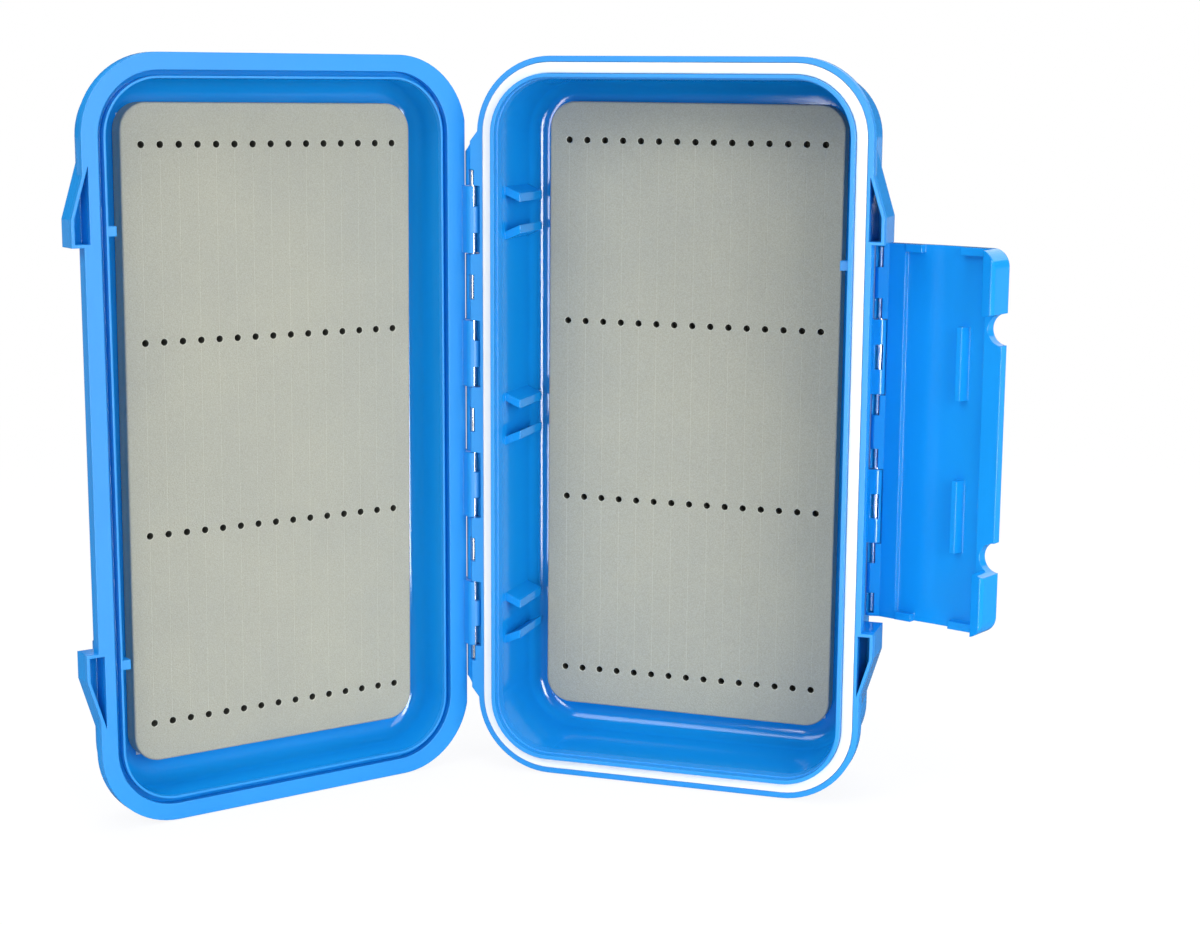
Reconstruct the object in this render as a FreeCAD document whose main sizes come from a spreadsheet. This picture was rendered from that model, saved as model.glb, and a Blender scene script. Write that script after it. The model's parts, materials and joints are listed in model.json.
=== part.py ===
import FreeCAD, Part
import math
import os
import re
import Sketcher

# A waterproof fly box: a deep base tray and a shallow lid tray on one long hinge pin, a sealing ring
# between their rims, a curved latch flap on a second pin, and a slit foam pad in each tray.
#
# Every piece is modelled as the box lies closed on a table: x runs from the hinge to the latch, y along
# the hinge and z upward from the base to the lid, with the hinge axis at zero. The placements then stand
# the box on its end, with the lid swung open and the latch folded out.

SIZES = (
    ("rim_length", 190.0, "length of both rims along the hinge"),
    ("rim_width", 104.0, "width of the base rim from hinge to latch"),
    ("rim_corner", 20.0, "radius of the rim corners"),
    ("hinge_offset", 2.0, "hinge axis outboard of the base rim"),
    ("parting_gap", 0.3, "closed gap between the two rim planes"),
    ("wall_inset", 3.0, "side walls inboard of the rim edge"),
    ("wall_draft", 1.0, "draft of the side walls in degrees"),
    ("base_depth", 29.5, "base from its rim plane to its back face"),
    ("base_floor", 2.5, "thickness of the base floor"),
    ("base_flange", 4.2, "thickness of the base flange"),
    ("base_edge_bevel", 3.0, "bevel round the base back face"),
    ("lid_depth", 15.5, "lid from its rim plane to its outer face"),
    ("lid_floor", 2.5, "thickness of the lid floor"),
    ("lid_flange", 3.2, "thickness of the lid flange"),
    ("lid_edge_round", 4.5, "rounding of the lid outer face"),
    ("floor_cove", 4.5, "cove where a tray wall meets its floor"),
    ("lip_width", 1.5, "outer lip of the base rim beside the seal groove"),
    ("seal_width", 2.7, "width of the sealing ring"),
    ("seal_clearance", 0.1, "gap between the ring and each side of its groove"),
    ("seal_groove_depth", 2.2, "depth of the seal groove"),
    ("seal_proud", 0.2, "ring above the base rim plane"),
    ("tongue_width", 1.0, "thickness of the base tongue"),
    ("tongue_height", 2.2, "tongue above the base rim plane"),
    ("tongue_ledge", 0.35, "ledge between the tongue and the tray wall"),
    ("tongue_clearance", 0.2, "gap on each side of the tongue in the lid groove"),
    ("lid_inner_lip", 0.55, "lip inboard of the lid groove"),
    ("lid_groove_depth", 2.4, "depth of the lid groove"),
    ("lid_hinge_margin", 1.3, "lid flange outboard of the base rim at the hinge"),
    ("lid_hinge_cut", 1.0, "straight cut of the lid flange from the hinge axis"),
    ("knuckle_radius", 2.1, "radius of the hinge knuckles, which are flush with the base rim"),
    ("knuckle_pitch", 17.6, "length of one hinge segment"),
    ("knuckle_gap", 0.2, "gap between neighbouring knuckles"),
    ("knuckle_relief", 0.55, "gap between a lid knuckle and the base rim"),
    ("knuckle_root", 0.8, "overlap of the knuckles into the flange"),
    ("block_length", 14.1, "length of the end block beside the last knuckle"),
    ("block_ramp", 5.2, "ramp at the outer end of the end block"),
    ("pin_radius", 0.8, "radius of both steel pins"),
    ("pin_clearance", 0.05, "radial gap between a pin and its bore"),
    ("hinge_pin_reach", 3.9, "hinge pin beyond the last knuckle"),
    ("pin_end_gap", 0.3, "gap at each end of a pin"),
    ("window_width", 2.0, "width of the windows over a pin"),
    ("centre_window", 6.4, "length of the window in the middle of a knuckle"),
    ("end_window", 5.35, "length of the windows at the ends of a knuckle"),
    ("arm_shoulder", 1.5, "bevel on the outer corner of a lid knuckle arm"),
    ("arm_gusset", 2.2, "height of the gusset from the arm to the lid side"),
    ("flap_length", 97.4, "length of the latch flap"),
    ("flap_reach", 34.8, "latch flap from its pin to its free edge"),
    ("latch_drop", 19.0, "latch pin below the base rim plane"),
    ("latch_inset", 0.65, "latch pin inboard of the rim edge"),
    ("latch_radius", 1.9, "outer radius of the latch knuckles"),
    ("latch_root", 1.2, "overlap of the base latch knuckles into the wall"),
    ("flap_root", 7.0, "raised root of the flap beside its knuckles"),
    ("flap_root_face", 0.6, "root face inboard of the pin"),
    ("flap_start", 2.25, "lower edge of the panel above the pin"),
    ("flap_floor", 0.5, "inner face of the panel outboard of the rim edge"),
    ("flap_edge_out", 1.45, "outer face of the free edge outboard of the rim edge"),
    ("flap_edge_in", 1.2, "inner face of the free edge inboard of the rim edge"),
    ("flap_band", 5.0, "height of the thick band along the free edge"),
    ("flap_bow", 150.0, "radius of the bowed panel"),
    ("flap_bow_rise", 0.3, "ends of the panel inboard of its middle"),
    ("flap_rib_root", 0.3, "overlap of the walls, ribs and tabs into the panel"),
    ("flap_wall", 2.0, "thickness of the flap end walls"),
    ("flap_wall_height", 1.5, "end walls inboard of the rim edge"),
    ("flap_pass_low", 11.7, "lower edge of the gap where the rims pass the end walls"),
    ("catch_clearance", 0.1, "gap between the catch ribs and the lid flange"),
    ("catch_width", 2.6, "width of a catch rib"),
    ("catch_tip", 1.5, "width of a catch rib at its tip"),
    ("catch_hook", 2.0, "reach of the catch ribs inboard of the rim edge"),
    ("catch_length", 18.6, "length of a catch rib"),
    ("catch_spacing", 39.0, "distance between the middles of the catch ribs"),
    ("tab_length", 16.2, "length of the hook tab at each end of the flap"),
    ("tab_hook", 6.6, "reach of the hook tabs inboard of the rim edge"),
    ("tab_lip", 3.6, "thickness of the hook lip"),
    ("tab_slant", 1.0, "slant of the hook tip"),
    ("tab_bevel", 0.8, "bevel of the hook along the free edge"),
    ("tab_corner", 4.5, "radius of the outer corner of a hook tab"),
    ("tab_cove", 2.2, "cove under the hook lip"),
    ("notch_radius", 4.0, "radius of the notch beside a hook tab"),
    ("notch_place", 28.9, "middle of that notch from the middle of the flap"),
    ("bracket_gap", 0.6, "gap between the flap and a bracket"),
    ("bracket_flat", 6.7, "straight part of a bracket"),
    ("bracket_ramp", 20.0, "sloping part of a bracket"),
    ("bracket_out", 3.1, "bracket outboard of the rim edge"),
    ("bracket_wall", 0.8, "wall of a bracket"),
    ("base_bracket_depth", 13.5, "depth of a base bracket below the rim plane"),
    ("lid_bracket_depth", 6.0, "height of a lid bracket above the rim plane"),
    ("relief_foot", 2.4, "start of the lid relief above its flange"),
    ("relief_top", 5.0, "lid relief inboard of the wall at the outer face"),
    ("prong_reach", 4.3, "prongs out of the base wall"),
    ("prong_width", 2.2, "thickness of a prong"),
    ("prong_mouth", 6.0, "gap between a pair of prongs at their tips"),
    ("prong_spread", 1.85, "sideways slope of each prong"),
    ("prong_top", 5.0, "top of the prongs below the rim plane"),
    ("prong_bottom", 22.0, "bottom of the prongs below the rim plane"),
    ("prong_spacing", 54.5, "distance between the prong pairs"),
    ("prong_root", 1.2, "overlap of the prongs into the wall"),
    ("nub_length", 2.4, "length of the stop nub on a rim"),
    ("nub_reach", 2.0, "stop nub out of the tray wall"),
    ("nub_height", 2.6, "height of a stop nub"),
    ("nub_root", 0.3, "overlap of a stop nub into the wall"),
    ("base_nub_place", 44.0, "stop nub of the base from its middle"),
    ("lid_nub_place", 53.0, "stop nubs of the lid from its middle"),
    ("foam_length", 166.0, "length of the foam pads"),
    ("foam_width", 80.6, "width of the foam pads"),
    ("foam_corner", 6.8, "corner radius of the foam pads"),
    ("foam_thickness", 4.7, "thickness of the foam pads"),
    ("tape_thickness", 0.3, "thickness of the adhesive sheet under a pad"),
    ("tape_margin", 2.5, "foam edge beyond its square-cut adhesive sheet"),
    ("ridge_pitch", 3.0, "pitch of the grooves on the lid face"),
    ("ridge_groove", 1.3, "width of a groove on the lid face"),
    ("ridge_depth", 0.5, "depth of a groove on the lid face"),
    ("ridge_start", 3.85, "innermost groove from the middle of the lid face"),
    ("ridge_reach", 85.5, "half length of a groove"),
    ("ridge_point", 2.0, "pointed end of a groove"),
    ("ridge_short", 4.0, "outermost groove shorter at each end"),
    ("ridge_grooves", 13, "grooves in each group"),
    ("oval_length", 47.0, "length of the bare oval on the lid face"),
    ("oval_width", 20.7, "width of the bare oval"),
    ("oval_line", 0.6, "width of the line round the oval"),
    ("oval_line_depth", 0.4, "depth of the line round the oval"),
    ("lid_open", 126.7, "angle of the open lid from its closed place"),
    ("latch_open", 70.0, "angle of the open latch from its closed place"),
    ("overrun", 5.0, "length by which every cut runs past its piece"),
)

document = FreeCAD.newDocument("fly_box")
sheet = document.addObject("Spreadsheet::Sheet", "sizes")
for row, (alias, size, meaning) in enumerate(SIZES, start=1):
    sheet.set(f"A{row}", meaning)
    sheet.set(f"B{row}", str(size))
    sheet.setAlias(f"B{row}", alias)
document.recompute()

ALIASES = {alias for alias, size, meaning in SIZES}
WORD = re.compile(r"[a-z_]+")
SAME_PLACE = 1e-6

# Places that several pieces share, as formulas of the sizes above.
LATCH_EDGE = "(hinge_offset + rim_width)"
RIM_MIDDLE = "(hinge_offset + rim_width / 2)"
LID_PLANE = "(knuckle_radius + parting_gap)"
LATCH_PLACE = "(hinge_offset + rim_width - latch_inset)"
LATCH_HEIGHT = "(knuckle_radius - latch_drop)"
SEAL_INSET = "(lip_width + seal_clearance)"
TONGUE_INSET = "(lip_width + seal_width + 2 * seal_clearance)"
TRAY_INSET = f"({TONGUE_INSET} + tongue_width + tongue_ledge)"
GROOVE_INSET = f"({TONGUE_INSET} - tongue_clearance)"
GROOVE_END = f"({TONGUE_INSET} + tongue_width + tongue_clearance)"
LID_TRAY_INSET = f"({GROOVE_END} + lid_inner_lip)"
BASE_FLOOR = "(knuckle_radius - base_depth + base_floor)"
LID_FLOOR = f"({LID_PLANE} + lid_depth - lid_floor)"
LID_FACE = f"({LID_PLANE} + lid_depth)"
BORE_RADIUS = "(pin_radius + pin_clearance)"
HALF_FLAP = "(flap_length / 2)"
FLAP_FLOOR = "(latch_inset + flap_floor)"
FLAP_FACE = "(latch_inset + flap_edge_out)"
LATCH_PITCH = "(flap_length / 5)"
CATCH_START = "(latch_drop + parting_gap + lid_flange + catch_clearance)"
BLOCK_START = "(3.5 * knuckle_pitch)"
BRACKET_START = f"({HALF_FLAP} + bracket_gap)"
BRACKET_KNEE = f"({BRACKET_START} + bracket_flat)"
BRACKET_END = f"({BRACKET_KNEE} + bracket_ramp)"
BRACKET_SLOPE = "((bracket_out + wall_inset) / bracket_ramp)"


def formula(text):
    """The formula with every size pointed at its cell in the sheet."""
    return WORD.sub(lambda found: "sizes." + found[0] if found[0] in ALIASES else found[0], text)


def number(text):
    """The present value of a formula."""
    return float(sheet.evalExpression(formula(text)))


def bind(target, path, text):
    """Ties one property of an object to a formula of the sizes."""
    target.setExpression(path, formula(text))


def rounded_rectangle(left, right, low, high, corner):
    """Corners of a rectangle with four equal arcs, counterclockwise."""
    return [
        (f"{left} + {corner}", low),
        (f"{right} - {corner}", low),
        (right, f"{low} + {corner}", corner, "right"),
        (right, f"{high} - {corner}"),
        (f"{right} - {corner}", high, corner, "right"),
        (f"{left} + {corner}", high),
        (left, f"{high} - {corner}", corner, "right"),
        (left, f"{low} + {corner}"),
        (f"{left} + {corner}", low, corner, "right"),
    ]


def rectangle(left, right, low, high):
    """Corners of a plain rectangle, counterclockwise."""
    return [(left, low), (right, low), (right, high), (left, high), (left, low)]


def rim_outline(inset):
    """The base rim outline, moved inboard by an inset."""
    return rounded_rectangle(
        f"hinge_offset + {inset}",
        f"{LATCH_EDGE} - {inset}",
        f"-rim_length / 2 + {inset}",
        f"rim_length / 2 - {inset}",
        f"(rim_corner - {inset})",
    )


def round_lug(radius, root):
    """Section of a knuckle: a half round about its pin that runs back to a root."""
    return [
        (root, radius),
        ("0", radius),
        (f"-{radius}", "0", radius, "left"),
        ("0", f"-{radius}", radius, "left"),
        (root, f"-{radius}"),
        (root, radius),
    ]


class Piece:
    """One physical piece, built feature by feature in its own body."""

    def __init__(self, name):
        self.name = name
        self.body = document.addObject("PartDesign::Body", name)
        self.body.Label = name
        self.volume = 0.0

    def origin(self, role):
        """One of the body's own origin planes or axes."""
        return next(item for item in self.body.Origin.OriginFeatures if item.Role == role)

    def sketch(self, name, role, offset, loops):
        """A sketch with closed outlines, each corner tied to its formulas."""
        drawing = self.body.newObject("Sketcher::SketchObject", f"{self.name}_{name}_sketch")
        drawing.AttachmentSupport = (self.origin(role), "")
        drawing.MapMode = "FlatFace"
        bind(drawing, ".AttachmentOffset.Base.z", offset)
        for loop in loops:
            if loop[0] == "circle":
                draw_circle(drawing, *loop[1:])
            elif loop[0] == "ellipse":
                draw_ellipse(drawing, *loop[1:])
            else:
                draw_outline(drawing, loop)
        return drawing

    def finish_feature(self, feature, grows):
        """Rebuilds the body and makes sure that the feature did its work."""
        document.recompute()
        volume = self.body.Shape.Volume
        changed = volume > self.volume if grows else volume < self.volume
        if not changed:
            raise RuntimeError(f"{feature.Name} left the volume as it was")
        self.volume = volume
        return feature

    def add(self, name, role, offset, loops, length, way="forward", taper=None):
        """Adds material along the sketch normal."""
        feature = self.body.newObject("PartDesign::Pad", f"{self.name}_{name}")
        feature.Profile = self.sketch(name, role, offset, loops)
        return self.extrude(feature, length, way, way == "backward", taper, True)

    def cut(self, name, role, offset, loops, length, way="forward", taper=None):
        """Takes material away along the sketch normal."""
        feature = self.body.newObject("PartDesign::Pocket", f"{self.name}_{name}")
        feature.Profile = self.sketch(name, role, offset, loops)
        return self.extrude(feature, length, way, way == "forward", taper, False)

    def extrude(self, feature, length, way, turned, taper, grows):
        """Sets the length and direction that a pad and a pocket share."""
        feature.SideType = "Symmetric" if way == "both" else "One side"
        feature.Reversed = turned
        bind(feature, "Length", length)
        if taper:
            bind(feature, "TaperAngle", taper)
        return self.finish_feature(feature, grows)

    def mirror(self, name, features, grows=True, role="XZ_Plane"):
        """Repeats features on the other side of an origin plane."""
        feature = self.body.newObject("PartDesign::Mirrored", f"{self.name}_{name}")
        feature.Originals = features
        feature.MirrorPlane = (self.origin(role), [""])
        self.body.Tip = feature
        return self.finish_feature(feature, grows)

    def repeat(self, name, features, role, length, count, grows=True, turned=False):
        """Repeats features in a row along an origin axis, or against it."""
        feature = self.body.newObject("PartDesign::LinearPattern", f"{self.name}_{name}")
        feature.Originals = features
        feature.Direction = (self.origin(role), [""])
        feature.Reversed = turned
        bind(feature, "Length", length)
        bind(feature, "Occurrences", count)
        self.body.Tip = feature
        return self.finish_feature(feature, grows)

    def edges(self, chosen):
        """Names of the edges that a test accepts."""
        return [
            f"Edge{place}"
            for place, edge in enumerate(self.body.Tip.Shape.Edges, start=1)
            if chosen(edge)
        ]

    def soften(self, name, radius, chosen, grows=False):
        """Rounds the chosen edges."""
        return self.dress("PartDesign::Fillet", name, "Radius", radius, chosen, grows)

    def bevel(self, name, width, chosen):
        """Bevels the chosen edges."""
        return self.dress("PartDesign::Chamfer", name, "Size", width, chosen, False)

    def dress(self, kind, name, path, size, chosen, grows):
        """Adds a rounding or a bevel of one size to the chosen edges."""
        tip = self.body.Tip
        names = self.edges(chosen)
        feature = self.body.newObject(kind, f"{self.name}_{name}")
        feature.Base = (tip, names)
        bind(feature, path, size)
        self.body.Tip = feature
        return self.finish_feature(feature, grows)


def draw_circle(drawing, centre_x, centre_y, radius):
    """A circle with its centre and radius tied to formulas."""
    place = FreeCAD.Vector(number(centre_x), number(centre_y), 0)
    index = drawing.addGeometry(Part.Circle(place, FreeCAD.Vector(0, 0, 1), number(radius)), False)
    pin_point(drawing, index, 3, centre_x, centre_y)
    tie(drawing, Sketcher.Constraint("Radius", index, number(radius)), radius)


def draw_ellipse(drawing, centre_x, centre_y, half_x, half_y):
    """An ellipse that is longer along y, with its centre and half sizes tied to formulas."""
    centre = FreeCAD.Vector(number(centre_x), number(centre_y), 0)
    long_end = centre + FreeCAD.Vector(0, number(half_y), 0)
    short_end = centre + FreeCAD.Vector(number(half_x), 0, 0)
    index = drawing.addGeometry(Part.Ellipse(long_end, short_end, centre), False)
    drawing.exposeInternalGeometry(index)
    pin_point(drawing, index, 3, centre_x, centre_y)
    long_axis = index + 1
    short_axis = index + 2
    drawing.addConstraint(Sketcher.Constraint("Vertical", long_axis))
    tie(drawing, Sketcher.Constraint("Distance", long_axis, 2 * number(half_y)), f"2 * ({half_y})")
    tie(drawing, Sketcher.Constraint("Distance", short_axis, 2 * number(half_x)), f"2 * ({half_x})")


def tie(drawing, constraint, text):
    """Adds a constraint and ties its value to a formula."""
    index = drawing.addConstraint(constraint)
    bind(drawing, f"Constraints[{index}]", text)


def pin_point(drawing, index, end, x_text, y_text):
    """Ties both coordinates of one point of an edge."""
    tie(drawing, Sketcher.Constraint("DistanceX", -1, 1, index, end, number(x_text)), x_text)
    tie(drawing, Sketcher.Constraint("DistanceY", -1, 1, index, end, number(y_text)), y_text)


def draw_outline(drawing, corners):
    """A closed outline of lines and arcs whose corners are tied to formulas.

    A corner is (x, y), reached by a line, or (x, y, radius, side), reached by an arc that bulges
    to that side of the way from the corner before it. The last corner repeats the first.
    """
    ends = []
    for before, here in zip(corners, corners[1:]):
        start = FreeCAD.Vector(number(before[0]), number(before[1]), 0)
        finish = FreeCAD.Vector(number(here[0]), number(here[1]), 0)
        if len(here) == 2:
            index = drawing.addGeometry(Part.LineSegment(start, finish), False)
            ends.append((index, 1, 2))
            continue
        radius = number(here[2])
        chord = finish - start
        aside = FreeCAD.Vector(-chord.y, chord.x, 0).normalize()
        depth = math.sqrt(max(radius**2 - (chord.Length / 2) ** 2, 0))
        turns_left = here[3] == "right"
        centre = (start + finish) / 2 + aside * (depth if turns_left else -depth)
        first, last = (start, finish) if turns_left else (finish, start)
        angles = [math.atan2(point.y - centre.y, point.x - centre.x) for point in (first, last)]
        round_edge = Part.ArcOfCircle(Part.Circle(centre, FreeCAD.Vector(0, 0, 1), radius), *angles)
        index = drawing.addGeometry(round_edge, False)
        ends.append((index, 1, 2) if turns_left else (index, 2, 1))
        tie(drawing, Sketcher.Constraint("Radius", index, radius), here[2])
    for (index, start_end, finish_end), following, corner in zip(ends, ends[1:] + ends[:1], corners[1:]):
        drawing.addConstraint(Sketcher.Constraint("Coincident", index, finish_end, *following[:2]))
        pin_point(drawing, index, finish_end, corner[0], corner[1])


def lies_at(height):
    """A test for edges that lie in the plane at a height."""
    level = number(height)
    return lambda edge: max(abs(edge.BoundBox.ZMin - level), abs(edge.BoundBox.ZMax - level)) < SAME_PLACE


def base_tray(piece):
    """The tray with its bevelled back edge, its flange and the drafted walls inside."""
    piece.add("tub", "XY_Plane", "knuckle_radius", [rim_outline("wall_inset")], "base_depth",
              way="backward")
    piece.bevel("back_bevel", "base_edge_bevel", lies_at("knuckle_radius - base_depth"))
    piece.add("flange", "XY_Plane", "knuckle_radius", [rim_outline("0")], "base_flange", way="backward")
    piece.cut("tray", "XY_Plane", "knuckle_radius", [rim_outline(TRAY_INSET)],
              "base_depth - base_floor", way="backward", taper="-wall_draft")
    piece.soften("floor_round", "floor_cove", lies_at(BASE_FLOOR), grows=True)


def base_rim(piece):
    """The tongue that enters the lid and the groove of the sealing ring."""
    tongue = [rim_outline(TONGUE_INSET), rim_outline(f"({TONGUE_INSET} + tongue_width)")]
    piece.add("tongue", "XY_Plane", "knuckle_radius", tongue, "tongue_height")
    groove = [rim_outline("lip_width"), rim_outline(TONGUE_INSET)]
    piece.cut("seal_groove", "XY_Plane", "knuckle_radius", groove, "seal_groove_depth", way="backward")


def slice_of(piece, work, name, loops, start, finish):
    """Adds or cuts a section between two places along y."""
    return work(name, "XZ_Plane", f"-({start})", loops, f"({finish}) - ({start})", way="backward")


def base_hinge(piece):
    """Three knuckles and two end blocks, with room for the lid knuckles between them."""
    relief = "(knuckle_radius + knuckle_relief)"
    room = [rectangle(f"-{relief}", relief, "knuckle_radius - base_flange - overrun", "knuckle_radius + overrun")]
    inner_room = slice_of(piece, piece.cut, "inner_room", room, "0.5 * knuckle_pitch", "1.5 * knuckle_pitch")
    outer_room = slice_of(piece, piece.cut, "outer_room", room, "2.5 * knuckle_pitch", "3.5 * knuckle_pitch")
    piece.mirror("rooms", [inner_room, outer_room], grows=False)
    root = "hinge_offset + knuckle_root"
    lug = [round_lug("knuckle_radius", root)]
    piece.add("middle_knuckle", "XZ_Plane", "0", lug, "knuckle_pitch - knuckle_gap", way="both")
    outer = slice_of(piece, piece.add, "outer_knuckle", lug,
                     "1.5 * knuckle_pitch + knuckle_gap / 2", "2.5 * knuckle_pitch - knuckle_gap / 2")
    block = slice_of(piece, piece.add, "end_block", lug,
                     f"{BLOCK_START} + knuckle_gap / 2", f"{BLOCK_START} + block_length")
    piece.mirror("knuckles", [outer, block])
    ramp = [
        ("-knuckle_radius - overrun", f"{BLOCK_START} + block_length - block_ramp"),
        ("-knuckle_radius", f"{BLOCK_START} + block_length - block_ramp"),
        ("hinge_offset", f"{BLOCK_START} + block_length"),
        ("hinge_offset", f"{BLOCK_START} + block_length + overrun"),
        ("-knuckle_radius - overrun", f"{BLOCK_START} + block_length + overrun"),
        ("-knuckle_radius - overrun", f"{BLOCK_START} + block_length - block_ramp"),
    ]
    ramp_cut = piece.cut("block_ramp", "XY_Plane", "0", [ramp], "2 * (knuckle_radius + overrun)", way="both")
    piece.mirror("block_ramps", [ramp_cut], grows=False)


def base_hinge_bore(piece):
    """The hinge bore and the windows that open it from above and below."""
    half = f"({BLOCK_START} + hinge_pin_reach + pin_end_gap)"
    bore = [("circle", "0", "0", BORE_RADIUS)]
    piece.cut("hinge_bore", "XZ_Plane", "0", bore, f"2 * {half}", way="both")
    middle = [rectangle("-window_width / 2", "window_width / 2", "-centre_window / 2", "centre_window / 2")]
    piece.cut("middle_window", "XY_Plane", "0", middle, "knuckle_radius + overrun")
    place = "2 * knuckle_pitch"
    outer = [rectangle("-window_width / 2", "window_width / 2",
                       f"{place} - centre_window / 2", f"{place} + centre_window / 2")]
    outer_cut = piece.cut("outer_window", "XY_Plane", "0", outer, "knuckle_radius + overrun")
    end = [rectangle("-window_width / 2", "window_width / 2", f"{BLOCK_START} - overrun", half)]
    end_cut = piece.cut("end_window", "XY_Plane", "0", end, "knuckle_radius + overrun")
    piece.mirror("windows", [outer_cut, end_cut], grows=False)


def bracket_outline():
    """Plan of a bracket: straight beside the flap, then sloping back to the side wall."""
    wall = f"{LATCH_EDGE} - wall_inset"
    return [
        (f"{wall} - bracket_wall", BRACKET_START),
        (f"{LATCH_EDGE} + bracket_out", BRACKET_START),
        (f"{LATCH_EDGE} + bracket_out", BRACKET_KNEE),
        (wall, BRACKET_END),
        (f"{wall} - bracket_wall", BRACKET_END),
        (f"{wall} - bracket_wall", BRACKET_START),
    ]


def pocket_outline(inset):
    """Plan of the pocket in a bracket, which follows the slope and reaches inboard of the rim edge."""
    inner = f"{LATCH_EDGE} - {inset}"
    outer = f"{LATCH_EDGE} + bracket_out - bracket_wall"
    start = f"{BRACKET_START} + bracket_wall"
    return [
        (inner, start),
        (outer, start),
        (outer, BRACKET_KNEE),
        (inner, f"{BRACKET_KNEE} + (bracket_out - bracket_wall + {inset}) / {BRACKET_SLOPE}"),
        (inner, start),
    ]


def base_brackets(piece):
    """The hollow brackets on both sides of the latch."""
    solid = piece.add("bracket", "XY_Plane", "knuckle_radius", [bracket_outline()], "base_bracket_depth",
                      way="backward")
    piece.mirror("brackets", [solid])
    hollow = piece.cut("bracket_pocket", "XY_Plane", "knuckle_radius", [pocket_outline("lip_width / 2")],
                       "base_bracket_depth - bracket_wall", way="backward")
    piece.mirror("bracket_pockets", [hollow], grows=False)


def latch_lug_outline():
    """Section of a base latch knuckle, from the wall to the pin."""
    root = f"{LATCH_EDGE} - wall_inset - latch_root"
    return [
        (root, f"{LATCH_HEIGHT} - latch_radius"),
        (LATCH_PLACE, f"{LATCH_HEIGHT} - latch_radius"),
        (f"{LATCH_PLACE} + latch_radius", LATCH_HEIGHT, "latch_radius", "right"),
        (LATCH_PLACE, f"{LATCH_HEIGHT} + latch_radius", "latch_radius", "right"),
        (root, f"{LATCH_HEIGHT} + latch_radius"),
        (root, f"{LATCH_HEIGHT} - latch_radius"),
    ]


def base_latch(piece):
    """Two latch knuckles with their bore and windows."""
    lug = slice_of(piece, piece.add, "latch_knuckle", [latch_lug_outline()],
                   f"0.5 * {LATCH_PITCH} + knuckle_gap / 2", f"1.5 * {LATCH_PITCH} - knuckle_gap / 2")
    piece.mirror("latch_knuckles", [lug])
    bore = [("circle", LATCH_PLACE, LATCH_HEIGHT, BORE_RADIUS)]
    piece.cut("latch_bore", "XZ_Plane", "0", bore, "flap_length", way="both")
    window = [rectangle(f"{LATCH_PLACE} - window_width / 2", f"{LATCH_PLACE} + window_width / 2",
                        f"{LATCH_PITCH} - centre_window / 2", f"{LATCH_PITCH} + centre_window / 2")]
    window_cut = piece.cut("latch_window", "XY_Plane", LATCH_HEIGHT, window, "latch_radius + overrun")
    piece.mirror("latch_windows", [window_cut], grows=False)


def base_prongs(piece):
    """Three pairs of prongs on the hinge-side wall of the tray."""
    wall = f"hinge_offset + {TRAY_INSET}"
    row = "-prong_spacing"

    def prong(side):
        mouth = "prong_mouth / 2"
        root = f"({mouth} + prong_spread * (prong_reach + prong_root) / prong_reach)"
        return [
            (f"{wall} - prong_root", f"{row} + {side} * {root}"),
            (f"{wall} + prong_reach", f"{row} + {side} * {mouth}"),
            (f"{wall} + prong_reach", f"{row} + {side} * ({mouth} + prong_width)"),
            (f"{wall} - prong_root", f"{row} + {side} * ({root} + prong_width)"),
            (f"{wall} - prong_root", f"{row} + {side} * {root}"),
        ]

    pair = piece.add("prong_pair", "XY_Plane", "knuckle_radius - prong_top", [prong("1"), prong("(-1)")],
                     "prong_bottom - prong_top", way="backward")
    piece.repeat("prong_pairs", [pair], "Y_Axis", "2 * prong_spacing", "3")


def nub_outline(place, inset):
    """Plan of a stop nub on the latch-side wall of a tray."""
    wall = f"{LATCH_EDGE} - {inset}"
    return rectangle(f"{wall} - nub_reach", f"{wall} + nub_root",
                     f"{place} - nub_length / 2", f"{place} + nub_length / 2")


def base_shell():
    """The deep tray with everything that is moulded on it."""
    piece = Piece("base_shell")
    base_tray(piece)
    base_brackets(piece)
    base_rim(piece)
    base_hinge(piece)
    base_hinge_bore(piece)
    base_latch(piece)
    base_prongs(piece)
    piece.add("stop_nub", "XY_Plane", "knuckle_radius", [nub_outline("base_nub_place", TRAY_INSET)],
              "nub_height", way="backward")
    return piece


def lid_tray(piece):
    """The lid with its drafted walls, rounded face, flange and tongue groove."""
    piece.add("cover", "XY_Plane", LID_PLANE, [rim_outline("wall_inset")], "lid_depth", taper="-wall_draft")
    piece.soften("face_round", "lid_edge_round", lies_at(LID_FACE))
    flange = rounded_rectangle(
        "hinge_offset - lid_hinge_margin",
        LATCH_EDGE,
        "-rim_length / 2",
        "rim_length / 2",
        "rim_corner",
    )
    piece.add("flange", "XY_Plane", LID_PLANE, [flange], "lid_flange")
    strip = [rectangle("-overrun", "lid_hinge_cut", "-rim_length / 2", "rim_length / 2")]
    piece.cut("hinge_edge", "XY_Plane", LID_PLANE, strip, "lid_flange")


def lid_relief(piece):
    """The slope on the latch side that clears the hook tabs."""
    wall = f"{LATCH_EDGE} - wall_inset"
    foot = f"{LID_PLANE} + lid_flange + relief_foot"
    slope = [
        (wall, foot),
        (f"{wall} - relief_top", LID_FACE),
        (f"{wall} - relief_top", f"{LID_FACE} + overrun"),
        (f"{wall} + overrun", f"{LID_FACE} + overrun"),
        (f"{wall} + overrun", foot),
        (wall, foot),
    ]
    piece.cut("latch_relief", "XZ_Plane", "0", [slope], f"2 * {BRACKET_START}", way="both")


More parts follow.
